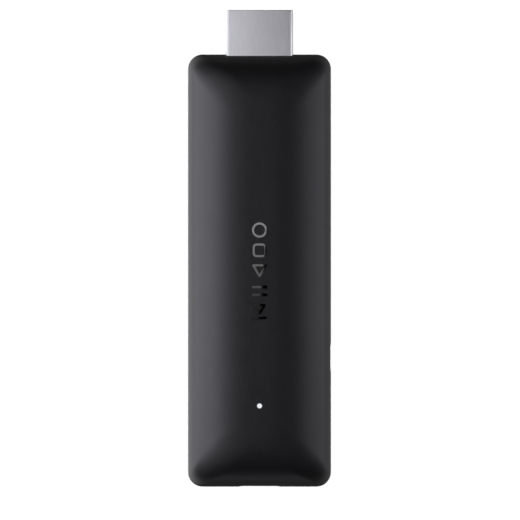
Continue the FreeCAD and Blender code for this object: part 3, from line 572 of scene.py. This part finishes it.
def make_socket_shell():
    """The socket's folded shell with its spread lip, and the four tabs that are soldered to the board."""
    face, back = socket_low.y, socket_high.y
    shares = [k / BEND_STEPS for k in range(BEND_STEPS + 1)]
    spread = [(share, SOCKET_FLARE * share ** 2) for share in shares]
    outer = [(back, 0.0)] + [(face + SOCKET_LIP * (1 - share), grow) for share, grow in spread]
    inner = [(y, grow - SOCKET_SHEET) for y, grow in reversed(outer)]
    stations = outer + inner
    tube = skin("socket_shell", [across(socket_outline(grow), y) for y, grow in stations], ends="joined")
    tab_root, tab_top = SOCKET_WIDTH / 2 - 0.05, BOARD_TOP + SOCKET_SHEET
    peg_foot, peg_top = BOARD_BOTTOM - 0.4, BOARD_TOP + 0.1
    tabs = []
    for y in SOCKET_TAB_ROWS:
        for side in (-1, 1):
            x0, x1 = sorted((side * tab_root, side * SOCKET_TAB_END))
            tabs.append(box_piece(x0, x1, y - SOCKET_TAB_HALF, y + SOCKET_TAB_HALF, BOARD_TOP, tab_top))
            x0, x1 = sorted((side * SOCKET_PEG_X0, side * SOCKET_PEG_X1))
            tabs.append(box_piece(x0, x1, y - SOCKET_PEG_HALF, y + SOCKET_PEG_HALF, peg_foot, peg_top))
    return combine(tube, tabs, "UNION")


# ---- Button, light window and label -------------------------------------------------------------

def make_button_cap():
    """The cap with a softly crowned face, and the flange that keeps it in the case."""
    face, back = button_high.x, button_low.x
    flange_top, crown = back + FLANGE_THICKNESS, BUTTON_CROWN
    bend_share, face_inset = 0.9, 0.95
    levels = [(flange_top - 0.1, 0.0), (face - crown, 0.0)]
    for k in range(1, BEND_STEPS + 1):
        angle = math.pi / 2 * k / BEND_STEPS
        rise = crown * math.sin(angle) * bend_share
        levels.append((face - crown + rise, crown * (math.cos(angle) - 1)))
    levels.append((face, -face_inset))
    cap = skin("button_cap", [facing_side(button_outline(grow), x) for x, grow in levels])
    flange_outline = rounded_polygon(rectangle_corners(FLANGE_HALF_Y, FLANGE_HALF_Z), FLANGE_ROUND)
    flange = skin("flange", [facing_side(flange_outline, x) for x in (back, flange_top)])
    return combine(cap, [flange], "UNION")


def make_light_window():
    """The light pipe: a stem with a flange, whose tip is a shallow dish in the top of the case."""
    tip = pipe_high.z
    foot, stem, rim, depth = 0.05, LIGHT_RADIUS, 0.04, 0.09
    flange_low, flange_high, flange = PIPE_FLANGE_LOW, PIPE_FLANGE_TOP, PIPE_FLANGE
    dish = [(stem * share, tip - depth * (1 - share ** 2)) for share in (0.8, 0.6, 0.4, 0.2, 0.02)]
    profile = [(AXIS, pipe_low.z), (stem - foot, pipe_low.z), (stem, pipe_low.z + foot),
               (stem, flange_low), (flange - EDGE, flange_low), (flange, flange_low + EDGE),
               (flange, flange_high - EDGE), (flange - EDGE, flange_high), (stem, flange_high),
               (stem, tip - rim), (stem - rim, tip)]
    return lathe("light_window", profile + dish, 0, LIGHT_Y)


def make_label():
    """A blank film label in its recess, with rounded corners and a soft edge."""
    soft = 0.02
    levels = [(-soft, label_low.z), (0.0, label_low.z + soft), (0.0, label_high.z)]
    return label_form("blank_label", 0.0, levels)


# ---- The switch's snap leaf ---------------------------------------------------------------------

def make_snap_leaf():
    """A thin bowed strip inside the switch, with its crown towards the plunger."""
    def bowed(half, rise, share):
        radius = (half ** 2 + rise ** 2) / (2 * rise)
        along = half * share
        return leaf_low.x + rise - radius + math.sqrt(radius ** 2 - along ** 2), BUTTON_Y + along

    half, rise = (leaf_high.y - leaf_low.y) / 2, leaf_high.x - leaf_low.x
    low, high = leaf_low.z, leaf_high.z
    loops = []
    for k in range(-LEAF_STEPS, LEAF_STEPS + 1):
        crown = bowed(half, rise, k / LEAF_STEPS)
        hollow = bowed(half - LEAF_SHEET, rise - LEAF_SHEET, k / LEAF_STEPS)
        loops.append([(*hollow, low), (*crown, low), (*crown, high), (*hollow, high)])
    return skin("snap_leaf", loops)


def flatten_with_plunger(leaf):
    """Gives the leaf its own copy of its mesh."""
    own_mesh(leaf)


# ---- Materials ----------------------------------------------------------------------------------

def new_material(name):
    """An empty node material, with its tree and its Principled shader."""
    material = bpy.data.materials.new(name)
    material.use_nodes = True
    return material, material.node_tree, material.node_tree.nodes["Principled BSDF"]


def add_node(tree, kind, inputs=None, **settings):
    node = tree.nodes.new(kind)
    for key, value in settings.items():
        setattr(node, key, value)
    for key, value in (inputs or {}).items():
        if isinstance(value, bpy.types.NodeSocket):
            tree.links.new(value, node.inputs[key])
        else:
            node.inputs[key].default_value = value
    return node


def object_point(tree, stretch=(1, 1, 1)):
    """The place on the object, in metres, which every piece here shares, stretched along its axes."""
    place = add_node(tree, "ShaderNodeTexCoord").outputs["Object"]
    return add_node(tree, "ShaderNodeMapping", {"Vector": place, "Scale": stretch}).outputs["Vector"]


def noise(tree, size_mm, stretch=(1, 1, 1), detail=3.0):
    """Noise whose features are about size_mm across."""
    inputs = {"Vector": object_point(tree, stretch), "Scale": 1 / (size_mm * MM), "Detail": detail}
    return add_node(tree, "ShaderNodeTexNoise", inputs).outputs["Fac"]


def ranged(tree, value, low, high, start=0.3, end=0.7):
    """Turns a value between start and end into one between low and high."""
    inputs = {"Value": value, "From Min": start, "From Max": end, "To Min": low, "To Max": high}
    return add_node(tree, "ShaderNodeMapRange", inputs).outputs["Result"]


def graded(tree, value, stops):
    """A value that follows (place, level) stops, in order."""
    ramp = add_node(tree, "ShaderNodeValToRGB", {"Fac": value})
    bands = ramp.color_ramp.elements
    bands.remove(bands[1])
    for i, (place, level) in enumerate(stops):
        band = bands.new(place) if i else bands[0]
        band.position = place
        band.color = (level, level, level, 1)
    return ramp.outputs["Color"]


def mixed(tree, share, first, second):
    node = add_node(tree, "ShaderNodeMix", data_type="RGBA")
    for socket, value in ((node.inputs[0], share), (node.inputs[6], first), (node.inputs[7], second)):
        if isinstance(value, bpy.types.NodeSocket):
            tree.links.new(value, socket)
        else:
            socket.default_value = value
    return node.outputs[2]


def bump(tree, shader, height, depth_mm):
    """Relief that is depth_mm deep where the height goes from 0 to 1."""
    inputs = {"Height": height, "Distance": depth_mm * MM, "Strength": 1.0}
    tree.links.new(add_node(tree, "ShaderNodeBump", inputs).outputs["Normal"], shader.inputs["Normal"])


def shade(colour, factor):
    return (*[min(1.0, c * factor) for c in colour[:3]], 1.0)


def plain_finish(name, colour, roughness, metallic=0.0, grain_mm=0.25, grain_depth_mm=0.004,
                 stretch=(1, 1, 1)):
    """A finish with mottled colour, uneven gloss and a fine grain in relief."""
    variation = 0.12
    material, tree, shader = new_material(name)
    cloud = noise(tree, grain_mm * 14)
    grain = noise(tree, grain_mm, stretch)
    tint = mixed(tree, ranged(tree, cloud, 0, 1), shade(colour, 1 - variation), shade(colour, 1 + variation))
    tree.links.new(tint, shader.inputs["Base Color"])
    tree.links.new(ranged(tree, grain, roughness - 0.05, roughness + 0.05), shader.inputs["Roughness"])
    shader.inputs["Metallic"].default_value = metallic
    bump(tree, shader, grain, grain_depth_mm)
    return material


def case_plastic(name):
    """Matt black moulded plastic with a fine spark-eroded texture, and faint mottling in its gloss."""
    material, tree, shader = new_material(name)
    colour = (0.0007, 0.0007, 0.0009)
    cloud = noise(tree, 9.0)
    speck = noise(tree, 0.2)
    tint = mixed(tree, ranged(tree, cloud, 0, 1), shade(colour, 0.93), shade(colour, 1.07))
    tree.links.new(tint, shader.inputs["Base Color"])
    tree.links.new(ranged(tree, noise(tree, 2.2), 0.41, 0.435), shader.inputs["Roughness"])
    shader.inputs["IOR"].default_value = 1.5
    bump(tree, shader, speck, 0.014)
    return material


def plug_steel(name):
    """Satin steel, rolled along the plug: long fine scratches in relief, and a gloss that follows them."""
    material, tree, shader = new_material(name)
    streak = noise(tree, 0.05, stretch=(1, 0.02, 1), detail=4.0)
    cloud = noise(tree, 3.0)
    tint = mixed(tree, ranged(tree, streak, 0, 1), (0.56, 0.56, 0.55, 1), (0.66, 0.66, 0.65, 1))
    tree.links.new(tint, shader.inputs["Base Color"])
    tree.links.new(ranged(tree, cloud, 0.33, 0.39), shader.inputs["Roughness"])
    shader.inputs["Metallic"].default_value = 1.0
    shader.inputs["Anisotropic"].default_value = 0.5
    tangent = add_node(tree, "ShaderNodeTangent", direction_type="RADIAL", axis="Y").outputs["Tangent"]
    tree.links.new(tangent, shader.inputs["Tangent"])
    bump(tree, shader, streak, 0.0012)
    return material


def gold(name):
    return plain_finish(name, (0.86, 0.62, 0.26), 0.24, metallic=1.0, grain_mm=0.08, grain_depth_mm=0.001,
                        stretch=(1, 0.1, 1))


def gloss_mark(name):
    """Polished black inlay: nearly a mirror, with faint waves and a few duller patches."""
    material, tree, shader = new_material(name)
    cloud = noise(tree, 1.5)
    tint = mixed(tree, ranged(tree, cloud, 0, 1), (0.0015, 0.0015, 0.0018, 1), (0.003, 0.003, 0.0034, 1))
    tree.links.new(tint, shader.inputs["Base Color"])
    tree.links.new(ranged(tree, cloud, 0.006, 0.02), shader.inputs["Roughness"])
    bump(tree, shader, cloud, 0.00003)
    return material


def label_film(name):
    """Satin printed film: a faint regular screen, and soft creases."""
    material, tree, shader = new_material(name)
    screen = add_node(tree, "ShaderNodeTexVoronoi", {"Vector": object_point(tree), "Scale": 1 / (0.18 * MM)})
    tint = mixed(tree, ranged(tree, screen.outputs["Distance"], 0, 1, 0, 0.8), (0.045, 0.045, 0.05, 1),
                 (0.06, 0.06, 0.065, 1))
    tree.links.new(tint, shader.inputs["Base Color"])
    tree.links.new(ranged(tree, noise(tree, 4.0), 0.3, 0.38), shader.inputs["Roughness"])
    bump(tree, shader, noise(tree, 1.6), 0.004)
    return material


def lit_window(name):
    """Clear plastic lit from below: brightest in a ring between its middle and its rim."""
    material, tree, shader = new_material(name)
    place = object_point(tree)
    apart = add_node(tree, "ShaderNodeVectorMath", {0: place, 1: (0, LIGHT_Y * MM, TOP_Z * MM)},
                     operation="SUBTRACT").outputs["Vector"]
    flat = add_node(tree, "ShaderNodeVectorMath", {0: apart, 1: (1, 1, 0)}, operation="MULTIPLY")
    radius = add_node(tree, "ShaderNodeVectorMath", {0: flat.outputs["Vector"]}, operation="LENGTH")
    share = ranged(tree, radius.outputs["Value"], 0, 1, 0, LIGHT_RADIUS * MM)
    glow = graded(tree, share, [(0.0, 0.63), (0.2, 0.65), (0.5, 1.0), (0.68, 0.92), (0.94, 0.12)])
    tree.links.new(glow, shader.inputs["Emission Strength"])
    shader.inputs["Emission Color"].default_value = (0.97, 0.985, 1.0, 1)
    tint = mixed(tree, ranged(tree, noise(tree, 0.3), 0, 1), (0.08, 0.085, 0.09, 1), (0.12, 0.125, 0.13, 1))
    tree.links.new(tint, shader.inputs["Base Color"])
    shader.inputs["Roughness"].default_value = 0.2
    bump(tree, shader, noise(tree, 0.2), 0.002)
    return material


def board_laminate(name, mask, copper):
    """Solder mask over a maze of copper tracks, with a glossy surface."""
    material, tree, shader = new_material(name)
    layout = {"Vector": object_point(tree), "Scale": 1 / (2.2 * MM), "Mortar Size": 0.07, "Brick Width": 0.9,
              "Row Height": 0.35}
    cells = add_node(tree, "ShaderNodeTexBrick", layout)
    tracks = ranged(tree, cells.outputs["Fac"], 0, 1, 0, 1)
    patches = ranged(tree, noise(tree, 3.5, detail=1.0), 0, 1, 0.48, 0.52)
    both = add_node(tree, "ShaderNodeMath", {0: tracks, 1: patches}, operation="MULTIPLY").outputs["Value"]
    tree.links.new(mixed(tree, both, mask, copper), shader.inputs["Base Color"])
    tree.links.new(ranged(tree, noise(tree, 0.6), 0.25, 0.38), shader.inputs["Roughness"])
    shader.inputs["Coat Weight"].default_value = 0.3
    bump(tree, shader, both, 0.02)
    return material


def make_materials():
    dull, bright = 0.55, 0.3
    return {
        "case_plastic": case_plastic("case_plastic"),
        "button_plastic": case_plastic("button_plastic"),
        "gloss_mark": gloss_mark("gloss_mark"),
        "label_film": label_film("label_film"),
        "clear_plastic": lit_window("clear_plastic"),
        "led_light": lit_window("led_light"),
        "plug_steel": plug_steel("plug_steel"),
        "gold_contact": gold("gold_contact"),
        "black_insulator": plain_finish("black_insulator", (0.016, 0.016, 0.017), 0.4, grain_mm=0.12),
        "tinned_steel": plain_finish("tinned_steel", (0.68, 0.68, 0.69), bright, 1.0, 0.1, 0.002,
                                     stretch=(1, 0.08, 1)),
        "white_plastic": plain_finish("white_plastic", (0.8, 0.8, 0.77), dull),
        "solder_metal": plain_finish("solder_metal", (0.72, 0.72, 0.74), bright, 1.0, 0.15, 0.006),
        "board_laminate": board_laminate("board_laminate", (0.008, 0.075, 0.03, 1), (0.03, 0.17, 0.06, 1)),
        "module_laminate": board_laminate("module_laminate", (0.008, 0.02, 0.06, 1), (0.02, 0.06, 0.13, 1)),
        "chip_plastic": plain_finish("chip_plastic", (0.022, 0.022, 0.022), dull, grain_mm=0.1),
        "thermal_pad": plain_finish("thermal_pad", (0.45, 0.5, 0.62), 0.7, grain_mm=0.4,
                                    grain_depth_mm=0.02),
        "spreader_aluminium": plain_finish("spreader_aluminium", (0.74, 0.75, 0.76), 0.34, 1.0, 0.07, 0.002,
                                           stretch=(0.05, 1, 1)),
        "capacitor_ceramic": plain_finish("capacitor_ceramic", (0.42, 0.28, 0.15), 0.45),
        "resistor_body": plain_finish("resistor_body", (0.02, 0.02, 0.025), 0.35),
        "capacitor_resin": plain_finish("capacitor_resin", (0.58, 0.38, 0.07), 0.45),
        "ferrite": plain_finish("ferrite", (0.09, 0.09, 0.095), 0.6, grain_mm=0.15, grain_depth_mm=0.012),
        "screw_steel": plain_finish("screw_steel", (0.5, 0.5, 0.52), bright, 1.0, 0.06, 0.002),
    }


# ---- Put together -------------------------------------------------------------------------------

def dress(materials):
    """Gives every CAD node the material of its slot in the record."""
    for row in frame["record"]["subparts"]:
        node = frame["nodes"][row["node"]]
        node.data.materials.clear()
        node.data.materials.append(materials[row["material_slot"]])


def stand_in(piece, node, materials):
    """Puts a rebuilt piece in a CAD node's place: its body, its slot and its material."""
    bodies = frame["record"]["behaviour"]["bodies"]
    body = next(name for name, members in bodies.items() if node in members)
    slot = next(row["material_slot"] for row in frame["record"]["subparts"] if row["node"] == node)
    piece.data.materials.clear()
    piece.data.materials.append(materials[slot])
    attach(piece, body)
    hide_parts(node)


def make_pieces(materials):
    stand_in(make_case_upper(), "top_cover", materials)
    stand_in(make_case_lower(), "bottom_cover", materials)
    stand_in(make_plug_shell(), "hdmi_shell", materials)
    stand_in(make_socket_shell(), "usb_shell", materials)
    stand_in(make_button_cap(), "reset_button", materials)
    stand_in(make_light_window(), "light_pipe", materials)
    stand_in(make_label(), "rating_label", materials)
    leaf = make_snap_leaf()
    stand_in(leaf, "switch_dome", materials)
    flatten_with_plunger(leaf)
    for mark in mark_solids(0.0, marks_low.z, TOP_Z - 0.005, soften=0.03):
        tidy(mark, sharp_angle=10)            # keeps their shallow inner corners crisp
        stand_in(mark, "front_marks", materials)


# ---- Studio -------------------------------------------------------------------------------------

LAMP_TINT = (0.985, 0.975, 1.08)


def softbox(name, azimuth, polar, breadth, height, radiance, distance=0.3):
    """A soft rectangular light aimed at the object, which the camera doesn't see.

    Azimuth turns from +X towards +Y and polar down from the vertical, in degrees; sizes are in metres.
    """
    data = bpy.data.lights.new(name, "AREA")
    data.shape = "RECTANGLE"
    data.size, data.size_y = breadth, height
    data.energy = radiance * math.pi * breadth * height
    data.color = LAMP_TINT
    lamp = bpy.data.objects.new(name, data)
    bpy.context.scene.collection.objects.link(lamp)
    turn, lean = math.radians(azimuth), math.radians(polar)
    direction = Vector((math.sin(lean) * math.cos(turn), math.sin(lean) * math.sin(turn), math.cos(lean)))
    lamp.location = direction * distance + Vector((0, 0, MID_Z * MM))
    lamp.rotation_euler = direction.to_track_quat("Z", "Y").to_euler()
    lamp.visible_camera = False
    return lamp


def table_light(floor):
    """Even light from straight above for the table alone, so its shadow stays close under the object."""
    data = bpy.data.lights.new("table_light", "SUN")
    data.energy = 1.65
    data.angle = math.radians(12)
    lamp = bpy.data.objects.new("table_light", data)
    bpy.context.scene.collection.objects.link(lamp)
    lamp.location = (0, 0, 1)
    shared_out(lamp, [floor], only=True)


def shared_out(light, pieces, only=False):
    """Keeps a light off some pieces, as a studio flag does, or lets it reach only them."""
    flag = bpy.data.collections.new(light.name + "_flag")
    light.light_linking.receiver_collection = flag
    for piece in pieces:
        flag.objects.link(piece)
    for member in flag.collection_objects:
        member.light_linking.link_state = "INCLUDE" if only else "EXCLUDE"


def light_card(marks):
    """A card above and to the left: the polished marks show it, with its slanted edge."""
    height, reach_x, reach_y, near_edge, far_edge = 560, 120, 80, -5.9, 8.0
    corners = [(-reach_x, -reach_y, height), (near_edge, -reach_y, height), (far_edge, reach_y, height),
               (-reach_x, reach_y, height)]
    card = piece_from("light_card", corners, [(0, 3, 2, 1)])
    material, tree, shader = new_material("card_glow")
    rise = add_node(tree, "ShaderNodeSeparateXYZ", {0: object_point(tree)}).outputs["Y"]
    tree.links.new(ranged(tree, rise, 0.4, 5.2, -0.012, 0.013), shader.inputs["Emission Strength"])
    shader.inputs["Emission Color"].default_value = (1, 1, 1, 1)
    shader.inputs["Base Color"].default_value = (0, 0, 0, 1)
    card.data.materials.append(material)
    card.visible_camera = False
    card.visible_diffuse = False
    card.visible_shadow = False
    shared_out(card, marks, only=True)


def make_floor():
    """A white table. Its sheen in the case comes from the surroundings, so it isn't reflected itself."""
    reach, level = 4000, -0.02
    corners = [(-reach, -reach), (reach, -reach), (reach, reach), (-reach, reach)]
    floor = piece_from("floor", [(x, y, level) for x, y in corners], [(0, 1, 2, 3)])
    material, tree, shader = new_material("white_table")
    tint = mixed(tree, ranged(tree, noise(tree, 60.0), 0, 1), (0.86, 0.86, 0.86, 1), (0.9, 0.9, 0.9, 1))
    tree.links.new(tint, shader.inputs["Base Color"])
    shader.inputs["Roughness"].default_value = 0.7
    shader.inputs["Emission Color"].default_value = (1, 1, 1, 1)
    shader.inputs["Emission Strength"].default_value = 0.6
    floor.data.materials.append(material)
    floor.visible_glossy = False
    return floor


def backdrop():
    """A pale dome over the table, which only the camera sees."""
    bpy.ops.mesh.primitive_uv_sphere_add(segments=64, ring_count=32, radius=2.6)
    dome = bpy.context.object
    dome.name = "backdrop"
    for face in dome.data.polygons:
        face.use_smooth = True
    material, _, shader = new_material("pale_backdrop")
    shader.inputs["Base Color"].default_value = (0, 0, 0, 1)
    shader.inputs["Emission Color"].default_value = (0.93, 0.93, 0.94, 1)
    shader.inputs["Emission Strength"].default_value = 1.0
    dome.data.materials.append(material)
    dome.visible_diffuse = False
    dome.visible_glossy = False
    dome.visible_transmission = False
    dome.visible_shadow = False


def surroundings():
    """A dim room above, and the table's sheen from below, brighter beside the softboxes."""
    world = bpy.data.worlds.new("studio")
    bpy.context.scene.world = world
    world.use_nodes = True
    tree = world.node_tree
    way = add_node(tree, "ShaderNodeTexCoord").outputs["Generated"]
    axes = add_node(tree, "ShaderNodeSeparateXYZ", {0: way}).outputs
    around = graded(tree, ranged(tree, axes["Z"], 0, 1, -1, 1),
                    [(0.0, 0.12), (0.44, 0.16), (0.5, 0.42), (0.56, 0.12), (0.66, 0.016), (1.0, 0.012)])
    left = ranged(tree, axes["X"], 2.1, 0, -0.9, -0.25)
    right = ranged(tree, axes["X"], 0, 0.5, 0.25, 0.9)
    sides = add_node(tree, "ShaderNodeMath", {0: left, 1: right}, operation="ADD").outputs["Value"]
    below = ranged(tree, axes["Z"], 1, 0, 0.0, 0.3)
    sheen = add_node(tree, "ShaderNodeMath", {0: sides, 1: below, 2: around}, operation="MULTIPLY_ADD")
    background = tree.nodes["Background"]
    tree.links.new(sheen.outputs["Value"], background.inputs["Strength"])
    background.inputs["Color"].default_value = (0.97, 0.98, 1.0, 1)


def studio():
    backdrop()
    surroundings()
    floor = make_floor()
    plug = bpy.data.objects["plug_shell"]
    marks = [piece for piece in bpy.data.objects if piece.name.startswith("mark_")]
    light_card(marks)
    table_light(floor)
    shared_out(softbox("plug_softbox", 180, 40, 0.34, 0.31, 1.3, distance=0.2), [plug], only=True)
    shared_out(softbox("plug_tip_softbox", 90, 62, 0.2, 0.1, 0.5), [plug], only=True)
    shared_out(softbox("left_softbox", 175, 52, 0.24, 0.40, 3.75), [plug, floor] + marks)
    shared_out(softbox("right_softbox", 3, 57, 0.19, 0.346, 1.6), [floor] + marks)
    shared_out(softbox("far_softbox", 270, 76, 0.12, 0.08, 0.8), [floor] + marks)


def camera():
    """Straight above on a long lens, with the plug towards the top of the picture."""
    lens, sensor = 400.0, 36.0
    picture = 108.2 * MM                      # how much of the object's plane the picture spans
    aim_x, aim_y = 0.1 * MM, 2.2 * MM         # where the middle of the picture falls
    distance = picture / 2 / (sensor / 2 / lens)
    data = bpy.data.cameras.new("camera")
    data.lens, data.sensor_width = lens, sensor
    data.clip_start, data.clip_end = 0.05, 10
    eye = bpy.data.objects.new("camera", data)
    bpy.context.scene.collection.objects.link(eye)
    eye.location = (aim_x, aim_y, MID_Z * MM + distance)
    bpy.context.scene.camera = eye


all_materials = make_materials()
dress(all_materials)
make_pieces(all_materials)
camera()
studio()
bpy.context.scene.view_settings.view_transform = "Standard"
